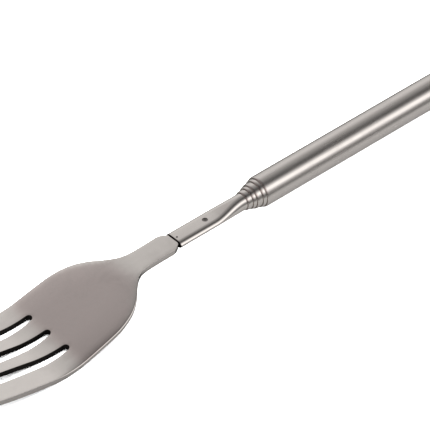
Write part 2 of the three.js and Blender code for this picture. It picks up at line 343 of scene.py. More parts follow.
def spring_tree():
    """A ring of leaf springs around the X axis: a strip, bent around it, bowed and given thickness."""
    tree = new_tree("GeometryNodeTree", "Leaf springs", [
        ("Geometry", "Geometry"), ("Radius", "Float", 0.004), ("Rear", "Float", 0.0),
        ("Length", "Float", 0.008), ("Span", "Float", 2.6), ("Bow", "Float", 0.00003),
        ("Thickness", "Float", 0.0001), ("Count", "Int", 2), ("Height", "Float", 0.0),
        ("Material", "Material")], [("Geometry", "Geometry")])
    given = node(tree, "NodeGroupInput").outputs
    strip = made_by(tree, "MeshGrid", {
        "Size X": given["Length"], "Size Y": given["Span"], "Vertices X": 17, "Vertices Y": 41})
    place = split(tree, made_by(tree, "InputPosition", {}))
    part = maths(tree, "DIVIDE", place["X"], given["Length"])
    swell = maths(tree, "COSINE", product(tree, part, math.pi))
    out = maths(tree, "ADD", given["Radius"], product(tree, swell, given["Bow"]))
    along = maths(tree, "ADD", maths(tree, "ADD", given["Rear"], place["X"]),
                  product(tree, given["Length"], 0.5))
    side = product(tree, out, maths(tree, "COSINE", place["Y"]))
    rise = product(tree, out, maths(tree, "SINE", place["Y"]))
    bent = made_by(tree, "SetPosition", {
        "Geometry": strip, "Position": joined(tree, X=along, Y=side, Z=rise)})
    raised = made_by(tree, "ExtrudeMesh", {
        "Mesh": bent, "Offset Scale": given["Thickness"], "Individual": False})
    lining = made_by(tree, "FlipFaces", {"Mesh": bent})
    shell = node(tree, "GeometryNodeJoinGeometry")
    tree.links.new(lining, shell.inputs[0])
    tree.links.new(raised, shell.inputs[0])
    solid = made_by(tree, "MergeByDistance", {
        "Geometry": shell.outputs[0], "Distance": MERGE_DISTANCE})
    spots = made_by(tree, "MeshLine", {"Count": given["Count"], "Offset": (0, 0, 0)})
    turn = product(tree, made_by(tree, "InputIndex", {}),
                   maths(tree, "DIVIDE", math.tau, given["Count"]))
    ring = made_by(tree, "InstanceOnPoints", {
        "Points": spots, "Instance": solid, "Rotation": joined(tree, X=turn)})
    laid = made_by(tree, "Transform", {
        "Geometry": ring, "Translation": joined(tree, Z=given["Height"])})
    finish_tree(tree, laid, given["Material"])
    return tree


def tree_named(name, maker):
    return bpy.data.node_groups.get(name) or maker()


# Materials

def group_node(tree, name, maker, inputs):
    return node(tree, "ShaderNodeGroup", inputs, node_tree=tree_named(name, maker)).outputs


def noise(tree, vector, scale, detail, **inputs):
    return node(tree, "ShaderNodeTexNoise", {
        "Vector": vector, "Scale": scale, "Detail": detail, **inputs}).outputs


def mixed(tree, factor, low, high):
    """A colour between low and high, which are sockets or (red, green, blue)."""
    ends = [(*end, 1) if isinstance(end, tuple) else end for end in (low, high)]
    return node(tree, "ShaderNodeMix", {"Factor": factor, 6: ends[0], 7: ends[1]},
                data_type="RGBA").outputs[2]


def ranged(tree, value, start, end, low=0.0, high=1.0, **settings):
    """The value's way from start to end, told as a value from low to high."""
    return node(tree, "ShaderNodeMapRange", {
        "Value": value, "From Min": start, "From Max": end, "To Min": low, "To Max": high},
        **settings).outputs[0]


def grain_group():
    """Fine drawn lines: noise squeezed along the two axes across the lines. Outputs run from 0 to 1."""
    tree = new_tree("ShaderNodeTree", "Drawn grain", [
        ("Vector", "Vector", (0, 0, 0)), ("Squeeze", "Vector", (1, 1, 1)), ("Scale", "Float", 4000.0)],
        [("Lines", "Float"), ("Height", "Float")])
    given = node(tree, "NodeGroupInput").outputs
    stretched = vector_maths(tree, "MULTIPLY", given["Vector"], given["Squeeze"])
    fine = noise(tree, stretched, given["Scale"], 3.0, Roughness=0.6)["Fac"]
    coarse = noise(tree, stretched, product(tree, given["Scale"], 0.22), 2.0)["Fac"]
    both = maths(tree, "ADD", product(tree, fine, 0.65), product(tree, coarse, 0.35))
    node(tree, "NodeGroupOutput", {"Lines": ranged(tree, both, 0.35, 0.65), "Height": both})
    return tree


def handling_group():
    """Soft dull patches where a polished piece has been handled, and sparse short scratches."""
    tree = new_tree("ShaderNodeTree", "Handling marks", [
        ("Vector", "Vector", (0, 0, 0)), ("Scale", "Float", 90.0)],
        [("Dull", "Float"), ("Scratch", "Float")])
    given = node(tree, "NodeGroupInput").outputs
    place, scale = given["Vector"], given["Scale"]
    cloud = noise(tree, place, scale, 4.0, Roughness=0.55, Distortion=0.6)["Fac"]
    dull = ranged(tree, cloud, 0.42, 0.72, interpolation_type="SMOOTHSTEP")
    wander = noise(tree, place, product(tree, scale, 2.2), 1.0)["Color"]
    drift = vector_maths(tree, "MULTIPLY", wander, (0.004, 0.004, 0.004))
    bent = vector_maths(tree, "ADD", drift, place)
    cracks = node(tree, "ShaderNodeTexVoronoi", {"Vector": bent, "Scale": product(tree, scale, 3.5)},
                  feature="DISTANCE_TO_EDGE").outputs["Distance"]
    line, sparse = ranged(tree, cracks, 0.0, 0.012, 1.0, 0.0), ranged(tree, cloud, 0.55, 0.62)
    node(tree, "NodeGroupOutput", {"Dull": dull, "Scratch": product(tree, line, sparse)})
    return tree


def marked(tree, name):
    """The value of an attribute on the piece's faces."""
    return node(tree, "ShaderNodeAttribute", attribute_name=name).outputs["Fac"]


def empty_tree(owner):
    """The owner's node tree, turned on and cleared."""
    owner.use_nodes = True
    owner.node_tree.nodes.clear()
    return owner.node_tree


def metal(name, colour, worn, squeeze, scale, roughness, bump, grain_tone, walls):
    """A metal with drawn grain and handling marks. walls is the near-black colour painted on faces marked
    as cut: painted shade, on a rougher cut finish.
    """
    material = bpy.data.materials.new(name)
    tree = empty_tree(material)
    place = node(tree, "ShaderNodeTexCoord").outputs["Object"]
    grain = group_node(tree, "Drawn grain", grain_group,
                       {"Vector": place, "Squeeze": squeeze, "Scale": scale})
    marks = group_node(tree, "Handling marks", handling_group, {"Vector": place})
    lines = product(tree, grain["Lines"], grain_tone)
    tone = mixed(tree, maths(tree, "MAXIMUM", lines, product(tree, marks["Dull"], 0.5)), colour, worn)
    rough = maths(tree, "ADD", ranged(tree, grain["Lines"], 0.0, 1.0, *roughness),
                  product(tree, marks["Dull"], 0.05))
    if walls is not None:
        # Faces marked as cut take the near-black walls colour: painted shade, with a rougher finish.
        cut = marked(tree, "shaded_cut_wall")
        tone = mixed(tree, cut, tone, walls)
        rough = maths(tree, "MAXIMUM", rough, product(tree, cut, 0.6))
        rough = product(tree, rough, ranged(tree, marked(tree, "polished_edge"), 0.0, 1.0, 1.0, 0.3))
    height = maths(tree, "SUBTRACT", grain["Height"], product(tree, marks["Scratch"], 0.4))
    relief = node(tree, "ShaderNodeBump", {"Strength": bump, "Distance": 0.02 * MM, "Height": height})
    shine = node(tree, "ShaderNodeBsdfPrincipled", {
        "Base Color": tone, "Metallic": 1.0, "Roughness": rough, "Normal": relief.outputs[0]})
    node(tree, "ShaderNodeOutputMaterial", {"Surface": shine.outputs[0]})
    return material


LENGTHWISE, AROUND, EVERY_WAY = (0.035, 1, 1), (1, 0.02, 0.02), (1, 1, 1)
# Each finish: the way and the scale of its grain, its range of roughness, its relief and how much the
# grain shows in its colour.
FINISHES = {
    "head_steel": (LENGTHWISE, 5200, (0.17, 0.23), 0.05, 0.15),
    "socket_steel": (LENGTHWISE, 5200, (0.12, 0.18), 0.04, 0.2),
    "handle_steel": (LENGTHWISE, 5200, (0.18, 0.26), 0.08, 0.35),
    "stage_steel": (AROUND, 6000, (0.12, 0.2), 0.06, 0.35),
    "plug_steel": (AROUND, 4200, (0.2, 0.32), 0.12, 0.35),
    "punched_shaded_steel": (EVERY_WAY, 2600, (0.35, 0.5), 0.3, 0.5),
    "spring_bronze": (AROUND, 4200, (0.3, 0.45), 0.15, 0.35),
}
# Finishes whose faces marked as cut are painted near black as painted shade.
SHADED_CUT_FINISHES = ("head_steel", "socket_steel")


def darker(colour, part):
    return tuple(part * channel for channel in colour)


def finish_of(slot):
    """The finish for a slot or for the rivet's punched ends, made the first time it is asked for."""
    name = f"{slot}_finish"
    if name in bpy.data.materials:
        return bpy.data.materials[name]
    look = bpy.context.scene.fork_finishes
    worn, cut = tuple(look.worn_steel), tuple(look.cut_steel_shade)
    # The rivet's punched ends are darkened toward the near-black cut colour: painted shade of the punch
    # dimple, on a rougher punched finish.
    colours = {
        "punched_shaded_steel": (darker(worn, 0.62), cut),
        "spring_bronze": (tuple(look.bronze), darker(look.bronze, 0.6)),
    }.get(slot, (tuple(look.steel), worn))
    return metal(name, *colours, *FINISHES[slot], cut if slot in SHADED_CUT_FINISHES else None)


# Tubes

def stage_radius(stage):
    sizes = bpy.context.scene.fork_tubes
    return sizes.handle_radius - sizes.radius_step * (6 - stage)


def wall_loop(path, wall):
    """The closed section of a wall that runs along a path of (along, out), with full round ends."""
    half = wall / 2
    outer, inner = [], []
    for i, (x, r) in enumerate(path):
        before, after = path[max(0, i - 1)], path[min(len(path) - 1, i + 1)]
        slope = math.atan2(after[1] - before[1], after[0] - before[0])
        outer.append((x - half * math.sin(slope), r + half * math.cos(slope)))
        inner.append((x + half * math.sin(slope), r - half * math.cos(slope)))
    (x0, r0), (x1, r1) = path[0], path[-1]
    end_slope = math.degrees(math.atan2(r1 - path[-2][1], x1 - path[-2][0]))
    front = arc((x1, r1), half, 90 + end_slope, end_slope - 90, 8)[1:-1]
    rear = arc((x0, r0), half, 270, 90, 8)[1:-1]
    return outer + front + inner[::-1] + rear


def smooth(part):
    part = min(1, max(0, part))
    return part * part * (3 - 2 * part)


def flared_rear(rear, middle, wall):
    """The middle of the wall at a sliding tube's rear end: opened, then back to the tube's own radius."""
    sizes = bpy.context.scene.fork_tubes
    opened = middle + sizes.flare
    path = [(rear + wall / 2, opened), (rear + 0.9 * sizes.flare_length, opened)]
    slope_length = 0.5 * sizes.flare_length
    for i in range(1, 9):
        x = rear + sizes.flare_length + slope_length * i / 8
        path.append((x, middle + sizes.flare * (1 - smooth(i / 8))))
    path.append((path[-1][0] + 0.1 * MM, middle))
    return path


def rolled_mouth(mouth, middle, wall):
    """The middle of the wall at a tube's mouth, curving in to the tube inside it."""
    sizes = bpy.context.scene.fork_tubes
    start = mouth - sizes.lip_length
    path = [(start - 0.2 * MM, middle)]
    for i in range(13):
        part = i / 12
        x = start + (sizes.lip_length - wall / 2) * part
        path.append((x, middle - sizes.lip_inset * part ** LIP_CURL))
    return path


def turned(name, loop, radius, material, closed=True):
    """A piece turned from a profile of (along, out)."""
    count = len(loop)
    edges = [(i, (i + 1) % count) for i in range(count if closed else count - 1)]
    mesh = bpy.data.meshes.new(name)
    mesh.from_pydata([(r - radius, -x, 0) for x, r in loop], edges, [])
    piece = add_object(name, mesh)
    apply_tree(piece, tree_named("Turning", turning_tree), Radius=radius, Height=AXIS_Z,
               Sides=bpy.context.scene.fork_tubes.sides, Material=material)
    tidy_normals(piece.data)
    return piece


class FORK_OT_handle(bpy.types.Operator):
    """Turn the handle tube, with its rolled mouth, and the plug in its rear end"""
    bl_idname = "fork.handle"
    bl_label = "Handle"

    def execute(self, context):
        sizes = context.scene.fork_tubes
        low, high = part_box("handle_tube")
        middle = sizes.handle_radius - sizes.wall / 2
        path = [(low.x + sizes.wall / 2, middle), (low.x + 0.5 * MM, middle)]
        path += rolled_mouth(high.x, middle, sizes.wall)
        tube = turned("handle", wall_loop(path, sizes.wall), sizes.handle_radius,
                      finish_of("handle_steel"))
        hand_over(tube, "handle", "handle_steel", "handle_tube")
        plug = turned("end_plug", self.plug_profile(sizes), sizes.handle_radius,
                      finish_of("plug_steel"), closed=False)
        hand_over(plug, "handle", "plug_steel", "handle_end_plug")
        return {"FINISHED"}

    def plug_profile(self, sizes):
        """From the axis at the flat outer end, over the dome and the rim, to the shank's inner face."""
        radius, face, inner = sizes.handle_radius, PLUG_LOW.x, PLUG_HIGH.x
        gap, rim_round, step = 0.05 * MM, 0.12 * MM, 0.1 * MM
        shank = radius - sizes.wall - gap
        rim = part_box("handle_tube")[0].x - gap
        flat, dome, chamfer = 3 * MM, 1.1 * MM, 0.3 * MM
        points = [(face, 0), (face, 0.5 * flat), (face, flat - 2 * step)]
        for i in range(17):
            angle = math.pi / 2 * i / 16
            points.append((face + dome * (1 - math.cos(angle)), flat + (radius - flat) * math.sin(angle)))
        points += arc((rim - rim_round, radius - rim_round), rim_round, 90, 0, 5)
        points += [(rim, shank + step), (rim, shank), (rim + step, shank)]
        points += [(inner - chamfer - step, shank), (inner - chamfer, shank), (inner, shank - chamfer)]
        points += [(inner, shank - 2 * chamfer), (inner, 0)]
        return points


class FORK_OT_stages(bpy.types.Operator):
    """Turn the four round stages, each with a rolled mouth and a flared rear end"""
    bl_idname = "fork.stages"
    bl_label = "Round stages"

    def execute(self, context):
        sizes = context.scene.fork_tubes
        for stage in ROUND_STAGES:
            low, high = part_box(f"stage_{stage}_tube")
            radius = stage_radius(stage)
            middle = radius - sizes.wall / 2
            path = flared_rear(low.x, middle, sizes.wall) + rolled_mouth(high.x, middle, sizes.wall)
            tube = turned(f"stage_{stage}", wall_loop(path, sizes.wall), radius, finish_of("stage_steel"))
            hand_over(tube, f"stage_{stage}", "stage_steel", f"stage_{stage}_tube")
        return {"FINISHED"}


class FORK_OT_springs(bpy.types.Operator):
    """Bend the bronze leaf springs that ride behind each stage"""
    bl_idname = "fork.springs"
    bl_label = "Leaf springs"

    def execute(self, context):
        sizes = context.scene.fork_springs
        for stage in (*ROUND_STAGES, 1):
            nodes = [f"stage_{stage}_spring_left", f"stage_{stage}_spring_right"]
            piece = add_object(f"springs_{stage}", bpy.data.meshes.new(f"springs_{stage}"))
            apply_tree(piece, tree_named("Leaf springs", spring_tree),
                       Radius=stage_radius(stage) + sizes.gap, Rear=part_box(nodes[0])[0].x,
                       Length=sizes.length, Span=sizes.span, Bow=sizes.bow, Thickness=sizes.thickness,
                       Count=sizes.count, Height=AXIS_Z, Material=finish_of("spring_bronze"))
            tidy_normals(piece.data)
            hand_over(piece, f"stage_{stage}_springs", "spring_bronze", *nodes)
        return {"FINISHED"}


# Socket and rivet

def flattening(x):
    """How far the smallest tube is pressed flat at x, from 0 to 1."""
    sizes = bpy.context.scene.fork_socket
    return smooth((x - MOUTH_X - sizes.round_end) / (sizes.flat_start - sizes.round_end))


def drill(piece, x, y, radius, low, high):
    """Cuts an upright round hole through the piece."""
    cutter = bpy.data.meshes.new("drill")
    shape = bmesh.new()
    bmesh.ops.create_cone(shape, cap_ends=True, segments=48, radius1=radius, radius2=radius,
                          depth=high - low)
    bmesh.ops.translate(shape, verts=shape.verts, vec=(x, y, AXIS_Z + (low + high) / 2))
    shape.to_mesh(cutter)
    shape.free()
    # The hole's walls are marked as cut, so they are painted near black: painted shade inside the hole.
    mark(cutter, "shaded_cut_wall", [1.0] * len(cutter.polygons))
    tool = add_object("drill", cutter)
    cut = piece.modifiers.new("Drill", "BOOLEAN")
    cut.operation, cut.solver, cut.object = "DIFFERENCE", "EXACT", tool
    settle(piece)
    bpy.data.objects.remove(tool)


def section_point(angle, radius, flat, inset):
    """The point of the pressed section whose normal points at an angle, as (side, rise).

    The section goes from a circle (flat is 0) to an oval (flat is 1): a flat, then a wide arc, then a
    rounded side. Inset moves the point inward along its normal.
    """
    sizes = bpy.context.scene.fork_socket
    height = radius + flat * (sizes.half_height - radius)
    wide_arc = radius + flat * (sizes.arc_radius - radius)
    round_side = radius + flat * (sizes.side_radius - radius)
    meet = math.asin((wide_arc - height) / (wide_arc - round_side))
    out, up = abs(math.cos(angle)), abs(math.sin(angle))
    if up < math.sin(meet):
        side = (wide_arc - round_side) * math.cos(meet) + (round_side - inset) * out
        rise = (round_side - inset) * up
    else:
        side = (wide_arc - inset) * out
        rise = height - wide_arc + (wide_arc - inset) * up
    return (math.copysign(flat * sizes.half_flat + side, math.cos(angle)),
            math.copysign(rise, math.sin(angle)))


class FORK_OT_socket(bpy.types.Operator):
    """Draw the smallest tube and press its front end flat around the tang, with the rivet through it"""
    bl_idname = "fork.socket"
    bl_label = "Socket and rivet"

    def execute(self, context):
        tubes, sizes = context.scene.fork_tubes, context.scene.fork_socket
        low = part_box("stage_1_tube")[0]
        middle = stage_radius(1) - tubes.wall / 2
        path = flared_rear(low.x, middle, tubes.wall)
        start, end = MOUTH_X + sizes.round_end - 0.3 * MM, MOUTH_X + sizes.flat_start
        front, steps = MOUTH_X + sizes.end, 36
        path += [(start + (end - start) * i / steps, middle) for i in range(steps + 1)]
        path += [(front - 0.5 * MM, middle), (front - tubes.wall / 2, middle)]
        wall = wall_loop(path, tubes.wall)
        piece = add_object("socket", self.pressed_mesh(wall, len(path), tubes.sides))
        piece.data.materials.append(finish_of("socket_steel"))
        tidy_normals(piece.data)
        reach = sizes.half_height + 1 * MM
        drill(piece, MOUTH_X + sizes.rivet_x, 0, sizes.rivet_radius + 0.05 * MM, -reach, reach)
        drill(piece, MOUTH_X + sizes.pip_x, sizes.pip_y, sizes.pip_radius, 0.5 * MM, reach)
        tidy_normals(piece.data)
        hand_over(piece, "head", "socket_steel", "stage_1_tube")
        self.rivet(sizes)
        return {"FINISHED"}

    def pressed_mesh(self, loop, front, sides):
        """The wall around the axis, pressed flat. From the loop's point front on, the end face and the
        inside are marked as cut and painted near black: painted shade.
        """
        points, faces, dull = [], [], []
        radius = stage_radius(1)
        for x, r in loop:
            flat = flattening(x)
            for i in range(sides):
                angle = math.tau * (i + 0.5) / sides
                side, rise = r * math.cos(angle), r * math.sin(angle)
                if flat > 0:
                    side, rise = section_point(angle, radius, flat, radius - r)
                points.append((x, side, AXIS_Z + rise))
        for j in range(len(loop)):
            for i in range(sides):
                here, there = j * sides, (j + 1) % len(loop) * sides
                faces.append((here + i, here + (i + 1) % sides, there + (i + 1) % sides, there + i))
                dull.append(1.0 if j > front else 0.0)
        mesh = bpy.data.meshes.new("socket")
        mesh.from_pydata(points, [], faces)
        mark(mesh, "shaded_cut_wall", dull)
        return mesh

    def rivet(self, sizes):
        """A flush pin whose ends are set with a shallow round punch."""
        radius, end, edge = sizes.rivet_radius, sizes.half_height - sizes.rivet_sink, 0.1 * MM
        depth = 0.15 * MM
        top = []
        for i in range(13):
            r = (radius - 2 * edge) * i / 12
            top.append((end - depth * (1 - smooth(r / (radius - 2 * edge))), r))
        top += arc((end - edge, radius - edge), edge, 0, 90, 6)
        profile = top + [(-x, r) for x, r in reversed(top)]
        # Its finish is darkened: painted shade of the punched dimple.
        pin = turned("rivet", profile, radius, finish_of("punched_shaded_steel"), closed=False)
        for corner in pin.data.vertices:
            x, z = corner.co.x, corner.co.z - AXIS_Z
            corner.co.x, corner.co.z = MOUTH_X + sizes.rivet_x - z, AXIS_Z + x
        hand_over(pin, "head", "plug_steel", "tang_rivet")


# Head

def bend_rise(x, middle, turn, length):
    """Height gained by one bend: nothing before it, a straight line after it, a parabola between."""
    run = min(length, max(0, x - middle + length / 2))
    return turn * (run * run / (2 * length) + max(0, x - middle - length / 2))


def plate_top(x):
    return NECK_TOP + NECK_SLOPE * (x - NECK_X) + sum(bend_rise(x, *bend) for bend in BENDS)


def between(x, stops):
    """Rises from 0 to 1 between the first two stops and falls back between the last two."""
    start, full, fading, end = stops
    return smooth((x - start) / (full - start)) * smooth((end - x) / (end - fading))


def curve_through(knots, steps):
    """A smooth line through the knots, with that many steps between two of them."""
    points = []
    last = len(knots) - 1
    for i in range(last):
        p = [Vector(knots[min(last, max(0, i + k))]) for k in (-1, 0, 1, 2)]
        lead, trail = (p[2] - p[0]) / 2, (p[3] - p[1]) / 2
        for k in range(steps):
            t = k / steps
            points.append((2 * p[1] - 2 * p[2] + lead + trail) * t ** 3
                          + (3 * p[2] - 3 * p[1] - 2 * lead - trail) * t ** 2 + lead * t + p[1])
    return points + [Vector(knots[-1])]


class Plan:
    """The head's plan, in lengths from the handle's mouth."""

    def __init__(self, sizes):
        self.sizes = sizes
        self.edge = [point * MM for point in curve_through(OUTLINE_MM, 10)]

    def half_width(self, x):
        for a, b in zip(self.edge, self.edge[1:]):
            if b.x >= x:
                return a.y + (b.y - a.y) * (x - a.x) / (b.x - a.x)
        return self.edge[-1].y

    def slot_half(self, x):
        radius, depth = self.sizes.slot_radius, x - self.sizes.slot_start
        rounding = min(depth, radius)
        end = math.sqrt(max(0, radius ** 2 - (radius - rounding) ** 2))
        reach = self.sizes.slot_reach
        run = min(reach, max(0, depth - radius))
        return end + self.sizes.slot_growth * (run - run * run / (2 * reach))

    def tine_edges(self, tine, x):
        """The two edges of a tine at x: tine 0 is the inner one, 1 the outer one."""
        tip, radius = TIPS[tine], self.sizes.tip_radius
        last = tip - radius
        here = min(x, last)
        half = self.slot_half(here)
        slot = OUTER_SLOT_Y + OUTER_SLOT_DRIFT * (here - self.sizes.slot_start)
        near, far = (half, slot - half) if tine == 0 else (slot + half, self.half_width(here))
        taper = smooth((x - TAPER_START) / (last - TAPER_START))
        width = (far - near) / 2 * (1 - taper) + radius * taper
        width *= math.sqrt(max(0, 1 - (max(0, x - last) / radius) ** 2))
        return (near + far) / 2 - width, (near + far) / 2 + width

    def tine_stops(self, tine):
        """Places along a tine, crowded where its slot begins and at its tip."""
        start, radius = self.sizes.slot_start, self.sizes.slot_radius
        last = TIPS[tine] - self.sizes.tip_radius
        root = [start + radius * (1 - math.cos(math.pi / 2 * i / 12)) for i in range(1, 13)]
        run = [root[-1] + (last - root[-1]) * i / 64 for i in range(1, 65)]
        tip = [last + self.sizes.tip_radius * math.sin(math.pi / 2 * i / 10) for i in range(1, 11)]
        return root + run + tip

    def outline(self):
        """Half of the plan, from the rear of the tang over the +Y tines to the middle slot's end."""
        points = [(TANG_REAR + (TANG_FRONT - TANG_REAR) * i / 20, TANG_HALF_WIDTH) for i in range(21)]
        shoulder = [*SHOULDER_MM, *OUTLINE_MM[:2]]
        points += [tuple(point * MM) for point in curve_through(shoulder, 5)[:-6]]
        points += [tuple(point) for point in self.edge if point.x < self.sizes.slot_start]
        start = self.sizes.slot_start
        points.append((start, self.half_width(start)))
        outer, inner = self.tine_stops(1), self.tine_stops(0)
        points += [(x, self.tine_edges(1, x)[1]) for x in outer]
        points += [(x, self.tine_edges(1, x)[0]) for x in reversed(outer[:-1])]
        points.append((start, OUTER_SLOT_Y))
        points += [(x, self.tine_edges(0, x)[1]) for x in inner]
        points += [(x, self.tine_edges(0, x)[0]) for x in reversed(inner[:-1])]
        points.append((start, 0))
        return points

    def dome(self, x, y):
        """How far the bowl's top has fallen away at a place near its outer edge."""
        inward = self.half_width(x) - abs(y)
        near = min(1, max(0, 1 - inward / self.sizes.dome_width))
        wide = min(1, max(0, 1 - inward / (4 * self.sizes.dome_width)))
        return self.sizes.dome_drop * between(x, DOME_STOPS) * (0.5 * near ** 3 + 0.5 * wide ** 2)

    def rounding(self, x, y):
        """The radius of the plate's edge at a place on it."""
        if abs(y) < self.half_width(x) - 1 * MM:
            return self.sizes.edge_round
        more = self.sizes.bowl_round - self.sizes.edge_round
        return self.sizes.edge_round + between(x, ROUNDING_STOPS) * more

    def faces_at(self, x, y):
        """Heights of the top and the underside over the tubes' axis."""
        if x <= TANG_FRONT:
            return TANG_HALF_HEIGHT, -TANG_HALF_HEIGHT
        top = plate_top(x)
        tip = TIPS[1] if abs(y) > OUTER_SLOT_Y else TIPS[0]
        taper = smooth((x - TAPER_START) / (tip - self.sizes.tip_radius - TAPER_START))
        thickness = self.sizes.plate + taper * (self.sizes.tip_thickness - self.sizes.plate)
        step = smooth((x - TANG_FRONT) / (0.1 * MM))
        crown = top - self.dome(x, y)
        return (TANG_HALF_HEIGHT + step * (crown - TANG_HALF_HEIGHT),
                -TANG_HALF_HEIGHT + step * (top - thickness + TANG_HALF_HEIGHT))


def pulled_in(loop, distances):
    """The closed loop moved inward by each point's distance, along the middle of its corner."""
    moved = []
    for i, here in enumerate(loop):
        before, after = loop[i - 1], loop[(i + 1) % len(loop)]
        a, b = (here - before).normalized(), (after - here).normalized()
        bisector = Vector((-(a.y + b.y), a.x + b.x))
        if bisector.length < 1e-6:
            bisector = Vector((-a.y, a.x))
        bisector.normalize()
        reach = max(0.5, bisector.dot(Vector((-a.y, a.x))))
        moved.append(here + bisector * (distances[i] / reach))
    return moved


class FORK_OT_head(bpy.types.Operator):
    """Cut the head's plan from plate, round its edges and bend it"""
    bl_idname = "fork.head"
    bl_label = "Head"

    def execute(self, context):
        sizes = context.scene.fork_head
        plan = Plan(sizes)
        half = plan.outline()
        other = [(x, -y) for x, y in reversed(half[:-1])]
        loop = [Vector(point) for point in half + other]
        if sum(a.cross(b) for a, b in zip(loop, loop[1:] + loop[:1])) < 0:
            loop.reverse()
        piece = add_object("head", self.plate_mesh(loop, plan, sizes))
        piece.data.materials.append(finish_of("head_steel"))
        tidy_normals(piece.data, math.radians(50))
        hand_over(piece, "head", "head_steel", "fork_head")
        return {"FINISHED"}

    def plate_mesh(self, loop, plan, sizes):
        """Rings up the rounded edge, closed by a filled top and underside."""
        radii, steps = [plan.rounding(*point) for point in loop], 8
        rings = []
        for i in range(steps + 1):
            angle = math.pi / 2 * i / steps
            ring = pulled_in(loop, [radius * (1 - math.cos(angle)) for radius in radii])
            rings.append((ring, [radius * (1 - math.sin(angle)) for radius in radii]))
        cap_points, cap_faces = self.filled(rings[-1][0])
        count, points, faces = len(loop), [], []

        def place(point, face, drop):
            x, y = point
            height = plan.faces_at(x, y)[face] + (drop if face else -drop)
            return (MOUTH_X + x, y, AXIS_Z + height)

        for face, order in ((1, reversed(rings)), (0, rings)):
            for ring, drops in order:
                points += [place(point, face, drop) for point, drop in zip(ring, drops)]
        for j in range(2 * steps + 1):
            for i in range(count):
                low, high, nxt = j * count, (j + 1) * count, (i + 1) % count
                faces.append((low + i, low + nxt, high + nxt, high + i))
        top_ring, inside = (2 * steps + 1) * count, cap_points[count:]
        base = len(points)
        points += [place(point, 0, 0) for point in inside] + [place(point, 1, 0) for point in inside]
        for corners in cap_faces:
            faces.append([top_ring + k if k < count else base + k - count for k in corners])
            under = [k if k < count else base + len(inside) + k - count for k in corners]
            faces.append(under[::-1])
        mesh = bpy.data.meshes.new("head")
        mesh.from_pydata(points, [], faces)
        self.mark_walls(mesh, plan, sizes, count, 2 * steps + 1)
        return mesh

    def filled(self, ring):
        """The ring filled with triangles over rows of points that let the plate bend."""
        rows, spacing, columns = [], 1.1 * MM, 13
        x = TANG_REAR + spacing
        ends = [TANG_FRONT, TANG_FRONT + 0.1 * MM, TANG_FRONT + 0.2 * MM]
        while x < max(TIPS):
            rows.append(x)
            x += spacing
        inside = [Vector((x, k * spacing)) for x in rows + ends for k in range(-columns, columns + 1)]
        edges = [(i, (i + 1) % len(ring)) for i in range(len(ring))]
        kept = [point for point in inside if self.holds(ring, point)]
        result = delaunay_2d_cdt(ring + kept, edges, [], 1, 1e-9)
        return [tuple(point) for point in result[0]], result[2]

    def holds(self, ring, point):
        """True if the point is inside the ring and a little way from it."""
        inside, nearest = False, 1.0
        for a, b in zip(ring, ring[1:] + ring[:1]):
            if (a.y > point.y) != (b.y > point.y):
                if point.x < (b.x - a.x) * (point.y - a.y) / (b.y - a.y) + a.x:
                    inside = not inside
            nearest = min(nearest, (a - point).length)
        return inside and nearest > 0.35 * MM

    def mark_walls(self, mesh, plan, sizes, count, bands):
        """Marks the tang and the punched walls between the tines, which are painted near black as painted
        shade, and the polished edges.
        """
        cut, polished = [], []
        inner = OUTER_SLOT_Y + 2.2 * MM
        for number, face in enumerate(mesh.polygons):
            x, y = face.center.x - MOUTH_X, abs(face.center.y)
            depth = x - sizes.slot_start
            wall = depth > -0.1 * MM and y < inner + 0.05 * depth and 1 < number // count < bands - 2
            edge = number < bands * count and plan.rounding(x, face.center.y) > 1.5 * sizes.edge_round
            cut.append(1.0 if wall or x < TANG_FRONT + 0.1 * MM else 0.0)
            polished.append(1.0 if edge else 0.0)
        mark(mesh, "shaded_cut_wall", cut)
        mark(mesh, "polished_edge", polished)


# Studio

# Brightness of the studio around the fork's axis: the angle runs from level on +Y, over the top.
# It is multiplied by the next table, and neither goes over the peak.
STUDIO_DEGREES = (
    (-180, 0.60), (-32, 0.58), (-20, 0.45), (-10, 0.24), (2, 0.22), (11, 0.42), (20, 0.95), (27, 1.60),
    (41, 1.55), (49, 0.90), (58, 0.40), (66, 0.14), (78, 0.11), (88, 0.20), (98, 0.31), (108, 0.40),
    (119, 0.52), (131, 0.74), (144, 0.86), (159, 0.75), (180, 0.66),
)
# The same studio told by how far a direction points ahead, toward the tines (1) or back (-1).
STUDIO_AHEAD = (
    (-1.0, 1.08), (-0.75, 1.07), (-0.5, 1.0), (-0.4, 1.02), (-0.25, 0.96), (-0.136, 0.78), (0.1, 0.45),
    (0.3, 0.28), (0.48, 0.28), (0.6, 0.6), (1.0, 0.85),
)
# Its darker part ahead is a little rosy.
ROSY, ROSY_FROM, ROSY_TO = (1, 0.925, 0.93), -0.28, -0.15
STUDIO_PEAK = 2.0
# How bright the floor is where the steel mirrors it: from and to a place, and there from and to a part.
# Under the fork, from X = 0 on, the floor is darker as painted shadow, and it darkens toward the head as
# painted shade.
FLOOR_BESIDE = (22 * MM, 55 * MM, 0.15, 0.055)
FLOOR_SHADE_AHEAD = (0, 30 * MM, 1, 0.66)
FLOOR_SHADOW_UNDER = (5 * MM, 9 * MM, 0.25, 1)
FLOOR_BEHIND = (0, 10 * MM, 1, 0)


def fill_ramp(ramp, places):
    """Sets a colour ramp's stops to greys, as parts of the brightest that the studio has."""
    stops = ramp.color_ramp.elements
    while len(stops) > 1:
        stops.remove(stops[-1])
    for i, (place, bright) in enumerate(places):
        stop = stops[0] if i == 0 else stops.new(place)
        stop.position = place
        stop.color = (*[bright / STUDIO_PEAK] * 3, 1)


